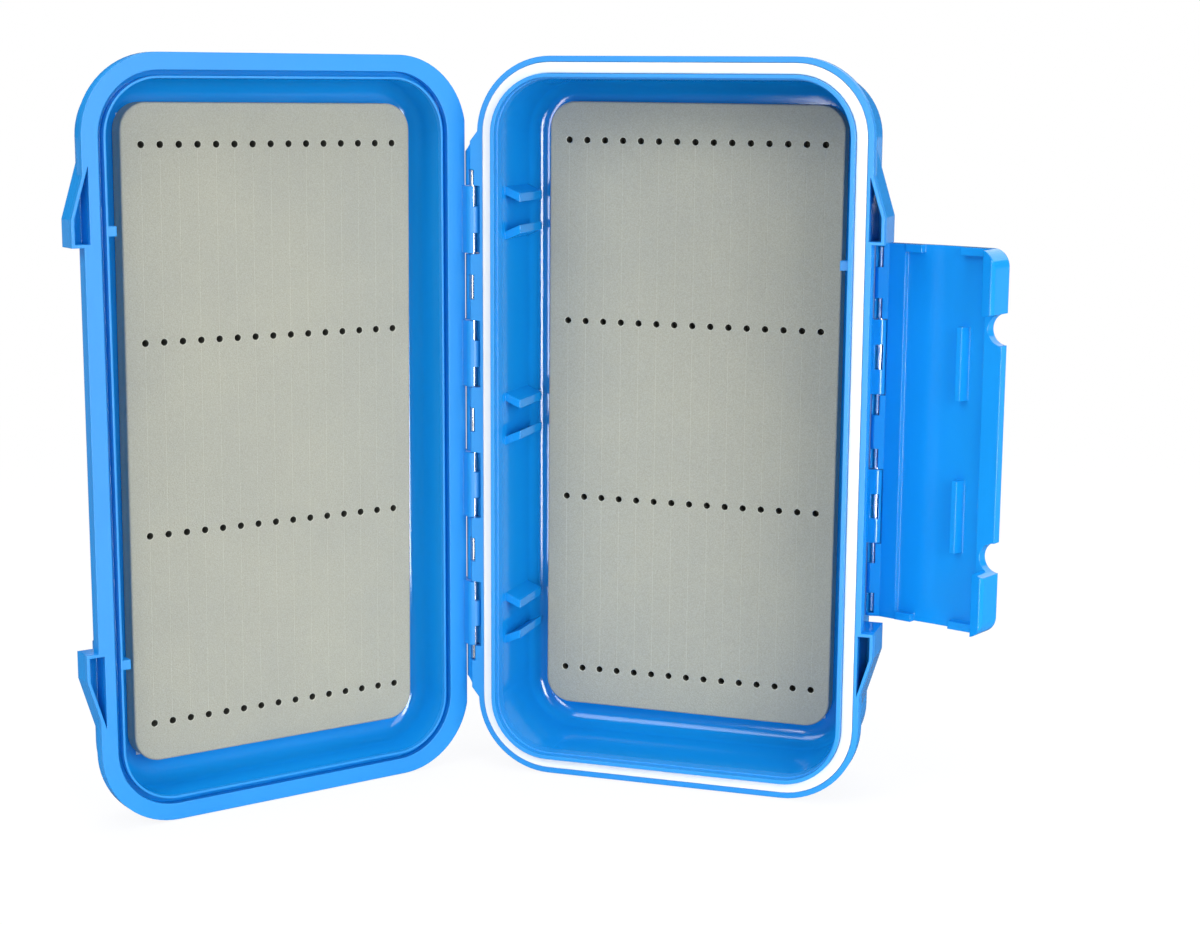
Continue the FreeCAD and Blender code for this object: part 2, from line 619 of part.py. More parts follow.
def lid_hollow(piece):
    """The inside of the lid and the groove that takes the tongue."""
    piece.cut("tray", "XY_Plane", LID_PLANE, [rim_outline(LID_TRAY_INSET)],
              "lid_depth - lid_floor", way="forward", taper="-wall_draft")
    piece.soften("floor_round", "floor_cove", lies_at(LID_FLOOR), grows=True)
    groove = [rim_outline(GROOVE_INSET), rim_outline(GROOVE_END)]
    piece.cut("tongue_groove", "XY_Plane", LID_PLANE, groove, "lid_groove_depth", way="forward")


def lid_arm_outline():
    """Section of a lid knuckle: round below, with an arm over the flange to the lid side."""
    top = f"{LID_PLANE} + lid_flange"
    wall = "hinge_offset + wall_inset"
    return [
        ("knuckle_radius", "0"),
        ("lid_hinge_cut + knuckle_root", LID_PLANE),
        (f"{wall} + knuckle_root", LID_PLANE),
        (f"{wall} + knuckle_root", f"{top} + arm_gusset"),
        (f"{wall}", f"{top} + arm_gusset"),
        ("-knuckle_radius + arm_shoulder", top),
        ("-knuckle_radius", f"{top} - arm_shoulder"),
        ("-knuckle_radius", "0"),
        ("0", "-knuckle_radius", "knuckle_radius", "right"),
        ("knuckle_radius", "0", "knuckle_radius", "right"),
    ]


def lid_hinge(piece):
    """Four knuckles on arms, their bore and its windows."""
    arm = [lid_arm_outline()]
    inner = slice_of(piece, piece.add, "inner_knuckle", arm,
                     "0.5 * knuckle_pitch + knuckle_gap / 2", "1.5 * knuckle_pitch - knuckle_gap / 2")
    outer = slice_of(piece, piece.add, "outer_knuckle", arm,
                     "2.5 * knuckle_pitch + knuckle_gap / 2", "3.5 * knuckle_pitch - knuckle_gap / 2")
    piece.mirror("knuckles", [inner, outer])
    bore = [("circle", "0", "0", BORE_RADIUS)]
    piece.cut("hinge_bore", "XZ_Plane", "0", bore, f"2 * {BLOCK_START}", way="both")
    across = ("-window_width / 2", "window_width / 2")
    inner_centre = piece.cut("inner_window", "XY_Plane", "0",
                             [rectangle(*across, "knuckle_pitch - centre_window / 2",
                                        "knuckle_pitch + centre_window / 2")],
                             f"{LID_PLANE} + lid_flange + overrun")
    outer_centre = piece.cut("outer_window", "XY_Plane", "0",
                             [rectangle(*across, "3 * knuckle_pitch - centre_window / 2",
                                        "3 * knuckle_pitch + centre_window / 2")],
                             f"{LID_PLANE} + lid_flange + overrun")
    ends = []
    for middle in ("knuckle_pitch", "3 * knuckle_pitch"):
        low = f"{middle} - knuckle_pitch / 2"
        high = f"{middle} + knuckle_pitch / 2"
        ends.append(rectangle(*across, low, f"{low} + end_window"))
        ends.append(rectangle(*across, f"{high} - end_window", high))
    end_cut = piece.cut("end_windows", "XY_Plane", "0", ends, "knuckle_radius + overrun", way="backward")
    piece.mirror("windows", [inner_centre, outer_centre, end_cut], grows=False)


def lid_brackets(piece):
    """The hollow brackets on both sides of the latch."""
    solid = piece.add("bracket", "XY_Plane", LID_PLANE, [bracket_outline()], "lid_bracket_depth")
    piece.mirror("brackets", [solid])
    hollow = piece.cut("bracket_pocket", "XY_Plane", LID_PLANE, [pocket_outline("lip_width")],
                       "lid_bracket_depth - bracket_wall", way="forward")
    piece.mirror("bracket_pockets", [hollow], grows=False)


def groove_outline(place, reach):
    """Plan of one groove on the lid face, pointed at both ends."""
    left = f"{place} - ridge_groove / 2"
    right = f"{place} + ridge_groove / 2"
    shoulder = f"({reach} - ridge_point)"
    return [
        (left, f"-{shoulder}"),
        (place, f"-({reach})"),
        (right, f"-{shoulder}"),
        (right, shoulder),
        (place, reach),
        (left, shoulder),
        (left, f"-{shoulder}"),
    ]


def lid_face(piece):
    """Two groups of long grooves, the outermost shorter, and a bare oval in the middle."""
    for side, sign in (("latch", "+"), ("hinge", "-")):
        first = f"{RIM_MIDDLE} {sign} ridge_start"
        last = f"{first} {sign} (ridge_grooves - 1) * ridge_pitch"
        groove = piece.cut(f"{side}_groove", "XY_Plane", LID_FACE, [groove_outline(first, "ridge_reach")],
                           "ridge_depth", way="backward")
        piece.repeat(f"{side}_grooves", [groove], "X_Axis", "(ridge_grooves - 2) * ridge_pitch",
                     "ridge_grooves - 1", grows=False, turned=sign == "-")
        piece.cut(f"{side}_short_groove", "XY_Plane", LID_FACE,
                  [groove_outline(last, "ridge_reach - ridge_short")], "ridge_depth", way="backward")
    oval = ("ellipse", RIM_MIDDLE, "0", "oval_width / 2", "oval_length / 2")
    piece.add("oval", "XY_Plane", LID_FACE, [oval], "2 * ridge_depth", way="backward")
    inner = ("ellipse", RIM_MIDDLE, "0", "oval_width / 2 - oval_line", "oval_length / 2 - oval_line")
    piece.cut("oval_line", "XY_Plane", LID_FACE, [oval, inner], "oval_line_depth", way="backward")


def lid_shell():
    """The shallow tray with everything that is moulded on it."""
    piece = Piece("lid_shell")
    lid_tray(piece)
    lid_hollow(piece)
    lid_relief(piece)
    lid_brackets(piece)
    lid_hinge(piece)
    lid_face(piece)
    nub = piece.add("stop_nub", "XY_Plane", LID_PLANE, [nub_outline("lid_nub_place", LID_TRAY_INSET)],
                    "nub_height")
    piece.mirror("stop_nubs", [nub])
    return piece


def flap_panel(piece):
    """The bowed panel with its root, its thick free edge, and the knuckles."""
    top = "flap_reach"
    section = [
        ("-flap_root_face", "flap_start"),
        ("latch_radius", "flap_start"),
        (FLAP_FACE, top, "flap_bow", "right"),
        ("latch_inset - flap_edge_in", top),
        ("latch_inset - flap_edge_in", f"{top} - flap_band"),
        (f"{FLAP_FLOOR} - flap_bow_rise", f"{top} - flap_band"),
        (f"{FLAP_FLOOR} - flap_bow_rise", "flap_root", "flap_bow", "left"),
        ("-flap_root_face", "flap_root"),
        ("-flap_root_face", "flap_start"),
    ]
    piece.add("panel", "XZ_Plane", "0", [section], "flap_length", way="both")
    lug = [
        ("latch_radius", "0"),
        ("latch_radius", "flap_start"),
        ("-flap_root_face", "flap_start"),
        ("-latch_radius", "0"),
        ("0", "-latch_radius", "latch_radius", "right"),
        ("latch_radius", "0", "latch_radius", "right"),
    ]
    piece.add("middle_knuckle", "XZ_Plane", "0", [lug], f"{LATCH_PITCH} - knuckle_gap", way="both")
    end = slice_of(piece, piece.add, "end_knuckle", [lug],
                   f"1.5 * {LATCH_PITCH} + knuckle_gap / 2", HALF_FLAP)
    piece.mirror("end_knuckles", [end])


def flap_details(piece):
    """End walls, catch ribs and hook tabs on the inner side of the panel."""
    floor = f"{FLAP_FLOOR} + flap_rib_root"
    edge = "latch_inset - flap_wall_height"
    low_wall = rectangle(edge, floor, "flap_root", "flap_pass_low")
    high_wall = rectangle(edge, floor, CATCH_START, "flap_reach - tab_lip")
    walls = slice_of(piece, piece.add, "end_wall", [low_wall, high_wall],
                     f"{HALF_FLAP} - flap_wall", HALF_FLAP)
    tip = "latch_inset - catch_hook"
    rib = [
        (floor, CATCH_START),
        (floor, f"{CATCH_START} + catch_width"),
        (tip, f"{CATCH_START} + catch_tip"),
        (tip, CATCH_START),
        (floor, CATCH_START),
    ]
    catch = slice_of(piece, piece.add, "catch_rib", [rib],
                     "(catch_spacing - catch_length) / 2", "(catch_spacing + catch_length) / 2")
    lip = "flap_reach - tab_lip"
    cove_end = f"{floor} + flap_rib_root"
    hook = [
        (cove_end, f"{lip} - tab_cove"),
        (FLAP_FACE, f"{lip} - tab_cove"),
        (FLAP_FACE, "flap_reach"),
        ("latch_inset - tab_hook + tab_bevel", "flap_reach"),
        ("latch_inset - tab_hook", "flap_reach - tab_bevel"),
        ("latch_inset - tab_hook + tab_slant", lip),
        (f"{cove_end} - tab_cove", lip),
        (cove_end, f"{lip} - tab_cove", "tab_cove", "left"),
    ]
    tab = slice_of(piece, piece.add, "hook_tab", [hook], f"{HALF_FLAP} - tab_length", HALF_FLAP)
    piece.mirror("inner_details", [walls, catch, tab])


def flap_edge(piece):
    """The rounded outer corners and the two notches in the free edge."""
    side = HALF_FLAP
    across = "2 * (tab_hook + overrun)"
    corner = [
        (f"{side} - tab_corner", "flap_reach"),
        (side, "flap_reach - tab_corner", "tab_corner", "left"),
        (f"{side} + overrun", "flap_reach - tab_corner"),
        (f"{side} + overrun", "flap_reach + overrun"),
        (f"{side} - tab_corner", "flap_reach + overrun"),
        (f"{side} - tab_corner", "flap_reach"),
    ]
    corner_cut = piece.cut("corner", "YZ_Plane", "0", [corner], across, way="both")
    notch = ("circle", "notch_place", "flap_reach", "notch_radius")
    notch_cut = piece.cut("notch", "YZ_Plane", "0", [notch], across, way="both")
    piece.mirror("edge_cuts", [corner_cut, notch_cut], grows=False)


def flap_bore(piece):
    """The latch bore and the windows that open it from the inner side."""
    bore = [("circle", "0", "0", BORE_RADIUS)]
    piece.cut("bore", "XZ_Plane", "0", bore, "flap_length - 2 * bracket_wall", way="both")
    half = "window_width / 2"
    windows = [rectangle(f"0.5 * {LATCH_PITCH} - end_window", f"0.5 * {LATCH_PITCH}", f"-{half}", half)]
    low = f"1.5 * {LATCH_PITCH}"
    windows.append(rectangle(low, f"{low} + end_window", f"-{half}", half))
    windows.append(rectangle(f"{HALF_FLAP} - bracket_wall - end_window", f"{HALF_FLAP} - bracket_wall",
                             f"-{half}", half))
    cut = piece.cut("windows", "YZ_Plane", "0", windows, "latch_radius + overrun", way="backward")
    piece.mirror("all_windows", [cut], grows=False)


def latch_flap():
    """The latch flap, drawn closed about its own pin."""
    piece = Piece("latch_flap")
    flap_panel(piece)
    flap_details(piece)
    flap_edge(piece)
    flap_bore(piece)
    return piece


def rim_seal():
    """The sealing ring in the groove of the base."""
    piece = Piece("rim_seal")
    ring = [rim_outline(SEAL_INSET), rim_outline(f"({SEAL_INSET} + seal_width)")]
    piece.add("ring", "XY_Plane", "knuckle_radius + seal_proud", ring, "seal_groove_depth + seal_proud",
              way="backward")
    return piece


def steel_pin(name, x_place, z_place, length):
    """A straight wire pin, cut off square."""
    piece = Piece(name)
    piece.add("wire", "XZ_Plane", "0", [("circle", x_place, z_place, "pin_radius")], length, way="both")
    return piece


def foam_sides(margin):
    """The four sides of a foam pad, drawn in by a margin."""
    return (
        f"{RIM_MIDDLE} - foam_width / 2 + {margin}",
        f"{RIM_MIDDLE} + foam_width / 2 - {margin}",
        f"-foam_length / 2 + {margin}",
        f"foam_length / 2 - {margin}",
    )


def lining(side, floor, way):
    """The foam pad of one tray and the adhesive sheet that holds it."""
    tape = Piece(f"{side}_foam_tape")
    tape.add("sheet", "XY_Plane", floor, [rectangle(*foam_sides("tape_margin"))], "tape_thickness", way=way)
    foam = Piece(f"{side}_foam")
    rise = "tape_thickness" if way == "forward" else "-tape_thickness"
    outline = rounded_rectangle(*foam_sides("0"), "foam_corner")
    foam.add("pad", "XY_Plane", f"{floor} + {rise}", [outline], "foam_thickness", way=way)
    return [tape, foam]


def stand(piece, turn="0"):
    """Stands a piece on its end, turned about the hinge axis."""
    middle = f"create(<<vector>>; -{RIM_MIDDLE}; knuckle_radius - base_flange / 2; rim_length / 2)"
    bind(piece.body, "Placement", f"create(<<placement>>; {middle}; create(<<rotation>>; {turn}; 0; 90))")


def stand_flap(piece):
    """Stands the latch flap at its pin, folded out."""
    place = "create(<<vector>>; rim_width / 2 - latch_inset; latch_drop - base_flange / 2; rim_length / 2)"
    bind(piece.body, "Placement", f"create(<<placement>>; {place}; create(<<rotation>>; latch_open; 0; 90))")


def check(pieces):
    """Stops unless every object is up to date and every piece is one sound solid."""
    document.recompute()
    for item in document.Objects:
        if "Invalid" in item.State or "Error" in item.State:
            raise RuntimeError(f"{item.Name} could not be rebuilt")
    for piece in pieces:
        shape = piece.body.Shape
        if shape.isNull() or not shape.isValid() or len(shape.Solids) != 1:
            raise RuntimeError(f"{piece.name} is not one sound solid")


def main():
    base_pieces = [
        base_shell(),
        rim_seal(),
        steel_pin("hinge_pin", "0", "0", f"2 * ({BLOCK_START} + hinge_pin_reach)"),
        steel_pin("latch_pin", LATCH_PLACE, LATCH_HEIGHT, "flap_length - 2 * bracket_wall - 2 * pin_end_gap"),
    ]
    base_pieces += lining("base", BASE_FLOOR, "forward")
    lid_pieces = [lid_shell()] + lining("lid", LID_FLOOR, "backward")
    flap = latch_flap()
    for piece in base_pieces:
        stand(piece)
    for piece in lid_pieces:
        stand(piece, "-lid_open")
    stand_flap(flap)
    pieces = base_pieces + lid_pieces + [flap]
    check(pieces)
    os.makedirs("parts", exist_ok=True)
    for piece in pieces:
        piece.body.Shape.exportStep(f"parts/{piece.name}.step")
        print(piece.name, round(piece.body.Shape.Volume), len(piece.body.Shape.Faces))


main()
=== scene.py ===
import json
import math

import bmesh
import bpy
from mathutils import Matrix, Vector
from mathutils.geometry import delaunay_2d_cdt


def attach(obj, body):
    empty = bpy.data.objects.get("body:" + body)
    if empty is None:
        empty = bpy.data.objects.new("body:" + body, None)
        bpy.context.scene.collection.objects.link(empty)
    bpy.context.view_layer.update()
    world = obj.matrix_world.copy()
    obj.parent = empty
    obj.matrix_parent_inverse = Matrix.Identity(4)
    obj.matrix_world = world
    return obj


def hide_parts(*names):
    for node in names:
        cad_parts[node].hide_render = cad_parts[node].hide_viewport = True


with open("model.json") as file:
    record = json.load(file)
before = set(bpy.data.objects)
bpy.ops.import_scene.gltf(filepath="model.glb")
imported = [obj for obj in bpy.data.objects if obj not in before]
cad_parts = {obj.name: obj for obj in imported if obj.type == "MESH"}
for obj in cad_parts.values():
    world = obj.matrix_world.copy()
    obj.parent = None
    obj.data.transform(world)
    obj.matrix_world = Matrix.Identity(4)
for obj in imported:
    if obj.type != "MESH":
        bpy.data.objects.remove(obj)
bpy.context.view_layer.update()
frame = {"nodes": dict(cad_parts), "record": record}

MM = 0.001

# The joints of the frame place everything that swings.
JOINTS = {joint["name"]: joint for joint in frame["record"]["behaviour"]["joints"]}
HINGE = Vector(JOINTS["lid_hinge"]["pos_m"])
LID_TURN = -math.radians(JOINTS["lid_hinge"]["range_deg"][1])
LATCH_PIN = Vector(JOINTS["latch_hinge"]["pos_m"])
LATCH_TURN = -math.radians(JOINTS["latch_hinge"]["range_deg"][0])

# Foam pads, in millimetres.
HOLE_COLUMNS = 15
HOLE_ROWS = 4
HOLE_PITCH = 4.96
ROW_PITCH = 48.2
HOLE_RADIUS = 0.88
HOLE_FLOOR_RADIUS = 0.9 * HOLE_RADIUS
HOLE_LIP = 0.16
HOLE_LIP_DEPTH = 0.1
HOLE_DEPTH = 3.6
HOLE_SIDES = 16
SLIT_HALF_WIDTH = 0.09
SLIT_DEPTH = 0.06
SLIT_END_GAP = 0.02
PAD_CORNER = 6.8
PAD_CORNER_STEPS = 10
PAD_EDGE = 0.45
PAD_WAIST = 0.18
SHEET_TOLERANCE = 1e-6

# Inset of the rounded upper edge at its two middle points, as shares of PAD_EDGE.
EDGE_POINTS = (0.13, 0.5)

# Painted light and shade on the foam's cut faces, as shares by which a face is drawn lighter or darker: the
# two faces of each slit get a painted highlight, one more than the other, the lip around each hole a painted
# highlight, and the hole's wall and floor painted shade. 0 leaves a face as it is.
SLIT_PAINTED_LIGHT = (0.08, 0.26)
LIP_PAINTED_HIGHLIGHT = 0.4
HOLE_PAINTED_SHADE = -0.8

# The pads are laid by hand, so their holes sit a little off their place: millimetres aside and along,
# and degrees. They are cut a little short at the hinge side, latch side, lower end and upper end.
BASE_PAD_LAID = (0.2, 0.8, -0.25)
BASE_PAD_TRIM = (0.2, 0.55, 0.6, 0.6)
LID_PAD_LAID = (-0.58, 0.45, 0.38)
LID_PAD_TRIM = (0.45, 0.3, 0.86, 0.55)

# Colours are stops of a ramp over a noise: (position, colour).
BLUE = ((0.3, (0.005, 0.265, 0.72)), (0.7, (0.007, 0.285, 0.76)))
SEAL_WHITE = ((0.3, (0.82, 0.84, 0.85)), (0.7, (0.88, 0.89, 0.9)))
STEEL_GREY = ((0.2, (0.62, 0.62, 0.63)), (0.8, (0.8, 0.8, 0.8)))
FOAM_GREY = ((0.32, (0.335, 0.337, 0.28)), (0.68, (0.41, 0.41, 0.35)))
FOAM_TINT = ((0.3, (0.93, 0.94, 0.95)), (0.7, (1.0, 1.0, 0.98)))
FILM_WHITE = ((0.3, (0.68, 0.68, 0.62)), (0.7, (0.76, 0.76, 0.7)))
FLOOR_WHITE = ((0.3, (0.9, 0.91, 0.92)), (0.7, (0.93, 0.94, 0.95)))
WHITE = (1.0, 1.0, 1.0, 1.0)

# Noises on the surfaces. A scale is roughly the number of blobs in a metre.
BLUE_CLOUD = dict(scale=22.0)
PLASTIC_WEAR = dict(scale=60.0, detail=6.0, roughness=0.62)
PLASTIC_GRAIN = dict(scale=1400.0, detail=2.0)
PLASTIC_RIPPLE = dict(scale=90.0, detail=2.0)
SEAL_CLOUD = dict(scale=60.0)
SEAL_DUST = dict(scale=420.0, detail=4.0)
STEEL_LINES = dict(scale=9000.0, detail=2.0)
FOAM_CELLS = 2600.0
FOAM_SPECKLE = dict(scale=3600.0, detail=2.0, roughness=0.55)
FOAM_CLOUD = dict(scale=35.0, detail=4.0)
FILM_CLOUD = dict(scale=80.0, detail=4.0)
FLOOR_CLOUD = dict(scale=3.0)

# Roughness of each surface, from the low to the high end of its noise.
WEAR_RANGE = (0.3, 0.75)
GLOSS_ROUGHNESS = (0.07, 0.13)
SATIN_ROUGHNESS = (0.40, 0.48)
DUST_RANGE = (0.3, 0.8)
SEAL_ROUGHNESS = (0.38, 0.55)
LINE_RANGE = (0.2, 0.8)
STEEL_ROUGHNESS = (0.16, 0.32)
CELL_RANGE = (0.0, 0.8)
FOAM_ROUGHNESS = (0.95, 0.8)
CLOUD_RANGE = (0.2, 0.8)
FILM_ROUGHNESS = (0.5, 0.65)
FLOOR_ROUGHNESS = 0.9

# Heights of the fine relief, in metres.
GRAIN_HEIGHT = 0.012 * MM
RIPPLE_HEIGHT = 0.006 * MM
SEAL_HEIGHT = 0.02 * MM
STEEL_HEIGHT = 0.004 * MM
CELL_HEIGHT = 0.05 * MM
SPECKLE_HEIGHT = 0.06 * MM
FILM_HEIGHT = 0.02 * MM

# Other values of the surfaces.
PLASTIC_IOR = 1.5
FOAM_SPECULAR = 0.25
STEEL_STRETCH = (1.0, 1.0, 0.02)

# The plastic turns from gloss to satin between these shares of facing outward. 1 is straight outward.
SATIN_FACING = (0.1, 0.3)

# Rounding of the edges and of the facets in the tray coves, in metres.
EDGE_RADIUS = 0.3 * MM
COVE_RADIUS = 1.2 * MM
SEAL_EDGE_RADIUS = 0.5 * MM
PLASTIC_EDGE_SAMPLES = 8
SEAL_EDGE_SAMPLES = 6

# Depths beyond the hinge at which a tray's gloss begins and from which its coves are shaded as round
# ones, in metres. Each change takes TRAY_BLEND.
BASE_TRAY = (0.0, 18.5 * MM)
LID_TRAY = (3.0 * MM, 8.5 * MM)
TRAY_BLEND = 1.5 * MM

# Lamps: places and sizes in metres, powers in watts. Those with lights=False are only mirrored in the
# plastic, as bright lines, and those with mirrored=False only light it.
LAMPS = {
    "key": dict(place=(-0.5, -0.85, 0.8), size=(0.55, 0.55), power=4.7),
    "front": dict(place=(0.1, -0.9, 0.1), size=(0.4, 0.4), power=1.9, mirrored=False),
    "fill": dict(place=(0.8, -0.75, 0.5), size=(0.5, 0.7), power=3.9),
    "top": dict(place=(-0.05, -0.1, 0.95), size=(0.6, 0.5), power=4.1),
    "side": dict(place=(0.45, -0.17, 0.16), size=(0.25, 0.3), power=1.0, mirrored=False),
    "backdrop": dict(place=(0.1, 1.8, 1.5), size=(3.6, 2.0), power=28.0),
    "base_strip": dict(place=(0.4, -0.55, 0.04), size=(0.16, 0.5), power=5.0, lights=False),
    "lid_strip": dict(place=(-0.2, -1.5, -0.15), size=(0.2, 0.7), power=6.0, lights=False),
    "lid_top_strip": dict(place=(0.34, 0.25, 0.95), size=(0.22, 0.22), power=1.6, lights=False),
}

# Lamps above this height look down at the target. The lower ones look level, each at its own height.
HIGH_LAMP = 0.3
LAMP_TARGET = (-0.02, 0.0, 0.09)

# Light from all around, and how much of it shows as a reflection.
WORLD_COLOUR = (0.95, 0.97, 1.0, 1.0)
WORLD_LIGHT = 0.45
WORLD_MIRRORED = 0.1

# Floor, in metres. It ends in front of the box, so that the front lamps reach below its plane.
FLOOR_SIZE = 12.0
FLOOR_FRONT = 0.16
FLOOR_DROP = 0.0002

# Near the box the floor keeps a share of its shadow and is dark where the plastic mirrors it. Far off
# it is plain white, and brighter where it is mirrored. The reaches are distances in metres.
WHITE_REACH = (0.3, 0.7)
WHITE_SHARE = (0.9, 1.0)
MIRROR_REACH = (0.25, 0.7)
MIRROR_STRENGTH = (0.05, 0.35)

# Camera, fitted to the photograph.
CAMERA_FROM_HINGE = Vector((208.7, -533.3, 89.7)) * MM
CAMERA_HEADING = 18.006
CAMERA_DOWN = 10.048
CAMERA_ROLL = 0.36
CAMERA_LENS = 65.255
CAMERA_SENSOR = 36.0
CAMERA_NEAR = 0.01


def lying_matrix(pivot, turn):
    """From the closed, lying piece about its pivot to its place in the frame."""
    return Matrix.Translation(pivot) @ Matrix.Rotation(turn, 4, "Z") @ Matrix.Rotation(math.pi / 2, 4, "X")


def lying_box(node, turn):
    """Corners of a node in the lying frame about the long hinge, in millimetres."""
    back = lying_matrix(HINGE, turn).inverted()
    points = [back @ vertex.co / MM for vertex in frame["nodes"][node].data.vertices]
    low = Vector(min(point[axis] for point in points) for axis in range(3))
    high = Vector(max(point[axis] for point in points) for axis in range(3))
    return low, high


# Node trees. The names of the sockets on a mix node repeat, so its colours go by place.
MIX_FIRST_COLOUR = 6
MIX_SECOND_COLOUR = 7
MIX_RESULT_COLOUR = 2


def node_material(name):
    """A new material with its node tree and its shader."""
    material = bpy.data.materials.new(name)
    material.use_nodes = True
    tree = material.node_tree
    return material, tree, tree.nodes["Principled BSDF"]


def feed(tree, socket, value):
    """Links another socket into a socket, or sets it to a plain value."""
    if isinstance(value, bpy.types.NodeSocket):
        tree.links.new(value, socket)
    else:
        socket.default_value = value


def add_node(tree, kind, settings=None, **inputs):
    """Adds a node, sets its properties and feeds its sockets."""
    node = tree.nodes.new(kind)
    for name, value in (settings or {}).items():
        setattr(node, name, value)
    for name, value in inputs.items():
        feed(tree, node.inputs[name.replace("_", " ")], value)
    return node


def own_place(tree):
    """Places on a piece in its own frame, so that its looks ride along with it."""
    return add_node(tree, "ShaderNodeTexCoord").outputs["Object"]


def noise(tree, coordinates, scale, detail=3.0, roughness=0.5):
    """A noise texture's value on the given coordinates."""
    node = add_node(tree, "ShaderNodeTexNoise", Vector=coordinates, Scale=scale, Detail=detail,
                    Roughness=roughness)
    return node.outputs["Fac"]


def ramp(tree, value, stops):
    """A colour ramp through two (position, colour) stops."""
    node = add_node(tree, "ShaderNodeValToRGB", Fac=value)
    for element, (position, colour) in zip(node.color_ramp.elements, stops):
        element.position = position
        element.color = (*colour, 1.0)
    return node.outputs["Color"]


def span(tree, value, source, target):
    """Maps a value from one (low, high) range to another, clamped."""
    node = add_node(tree, "ShaderNodeMapRange", Value=value, From_Min=source[0], From_Max=source[1],
                    To_Min=target[0], To_Max=target[1])
    return node.outputs["Result"]


def math_node(tree, operation, first, second):
    """One arithmetic step on two values or sockets."""
    node = add_node(tree, "ShaderNodeMath", {"operation": operation})
    feed(tree, node.inputs[0], first)
    feed(tree, node.inputs[1], second)
    return node.outputs["Value"]


def along(tree, vector, direction):
    """How far a vector runs along a fixed direction."""
    node = add_node(tree, "ShaderNodeVectorMath", {"operation": "DOT_PRODUCT"})
    feed(tree, node.inputs[0], vector)
    feed(tree, node.inputs[1], direction)
    return node.outputs["Value"]


def relief(tree, shader, height, distance=1.0, edges=None):
    """Gives a shader its fine relief, over rounded edges where a bevel node is given."""
    bump = add_node(tree, "ShaderNodeBump", Height=height, Distance=distance)
    if edges:
        tree.links.new(edges.outputs["Normal"], bump.inputs["Normal"])
    tree.links.new(bump.outputs["Normal"], shader.inputs["Normal"])


def mix_shaders(tree, share, first, second, surface):
    """Mixes two shaders into an output socket. The share is that of the second."""
    mix = add_node(tree, "ShaderNodeMixShader", Fac=share)
    tree.links.new(first.outputs[0], mix.inputs[1])
    tree.links.new(second.outputs[0], mix.inputs[2])
    tree.links.new(mix.outputs[0], surface)


# Materials.


def blue_plastic(name, outside, tray=None):
    """Moulded blue plastic: glossy inside the tray, satin on its rim and where it faces outward."""
    material, tree, shader = node_material(name)
    place = own_place(tree)
    tree.links.new(ramp(tree, noise(tree, place, **BLUE_CLOUD), BLUE), shader.inputs["Base Color"])
    normal = add_node(tree, "ShaderNodeTexCoord").outputs["Normal"]
    satin = span(tree, along(tree, normal, outside), SATIN_FACING, (0.0, 1.0))
    edges = add_node(tree, "ShaderNodeBevel", {"samples": PLASTIC_EDGE_SAMPLES}, Radius=EDGE_RADIUS)
    if tray:
        gloss_start, cove_start = [outside.dot(HINGE) + depth for depth in tray]
        depth = along(tree, place, outside)
        rim = span(tree, depth, (gloss_start, gloss_start + TRAY_BLEND), (1.0, 0.0))
        satin = math_node(tree, "MAXIMUM", satin, rim)
        radius = span(tree, depth, (cove_start, cove_start + TRAY_BLEND), (EDGE_RADIUS, COVE_RADIUS))
        tree.links.new(radius, edges.inputs["Radius"])
    wear = noise(tree, place, **PLASTIC_WEAR)
    roughness = add_node(tree, "ShaderNodeMix", Factor=satin, A=span(tree, wear, WEAR_RANGE, GLOSS_ROUGHNESS),
                         B=span(tree, wear, WEAR_RANGE, SATIN_ROUGHNESS))
    tree.links.new(roughness.outputs["Result"], shader.inputs["Roughness"])
    grain = math_node(tree, "MULTIPLY", noise(tree, place, **PLASTIC_GRAIN),
                      math_node(tree, "MULTIPLY", satin, GRAIN_HEIGHT))
    ripple = math_node(tree, "MULTIPLY", noise(tree, place, **PLASTIC_RIPPLE), RIPPLE_HEIGHT)
    relief(tree, shader, math_node(tree, "ADD", grain, ripple), edges=edges)
    shader.inputs["IOR"].default_value = PLASTIC_IOR
    return material


def white_seal():
    """Soft white sealing ring with a faint sheen."""
    material, tree, shader = node_material("white_seal")
    place = own_place(tree)
    tree.links.new(ramp(tree, noise(tree, place, **SEAL_CLOUD), SEAL_WHITE), shader.inputs["Base Color"])
    dust = noise(tree, place, **SEAL_DUST)
    tree.links.new(span(tree, dust, DUST_RANGE, SEAL_ROUGHNESS), shader.inputs["Roughness"])
    edges = add_node(tree, "ShaderNodeBevel", {"samples": SEAL_EDGE_SAMPLES}, Radius=SEAL_EDGE_RADIUS)
    relief(tree, shader, dust, SEAL_HEIGHT, edges)
    return material


def pin_steel():
    """Drawn steel wire with fine lines along the wire."""
    material, tree, shader = node_material("pin_steel")
    stretched = add_node(tree, "ShaderNodeMapping", Vector=own_place(tree), Scale=STEEL_STRETCH)
    lines = noise(tree, stretched.outputs["Vector"], **STEEL_LINES)
    tree.links.new(ramp(tree, lines, STEEL_GREY), shader.inputs["Base Color"])
    tree.links.new(span(tree, lines, LINE_RANGE, STEEL_ROUGHNESS), shader.inputs["Roughness"])
    shader.inputs["Metallic"].default_value = 1.0
    relief(tree, shader, lines, STEEL_HEIGHT)
    return material


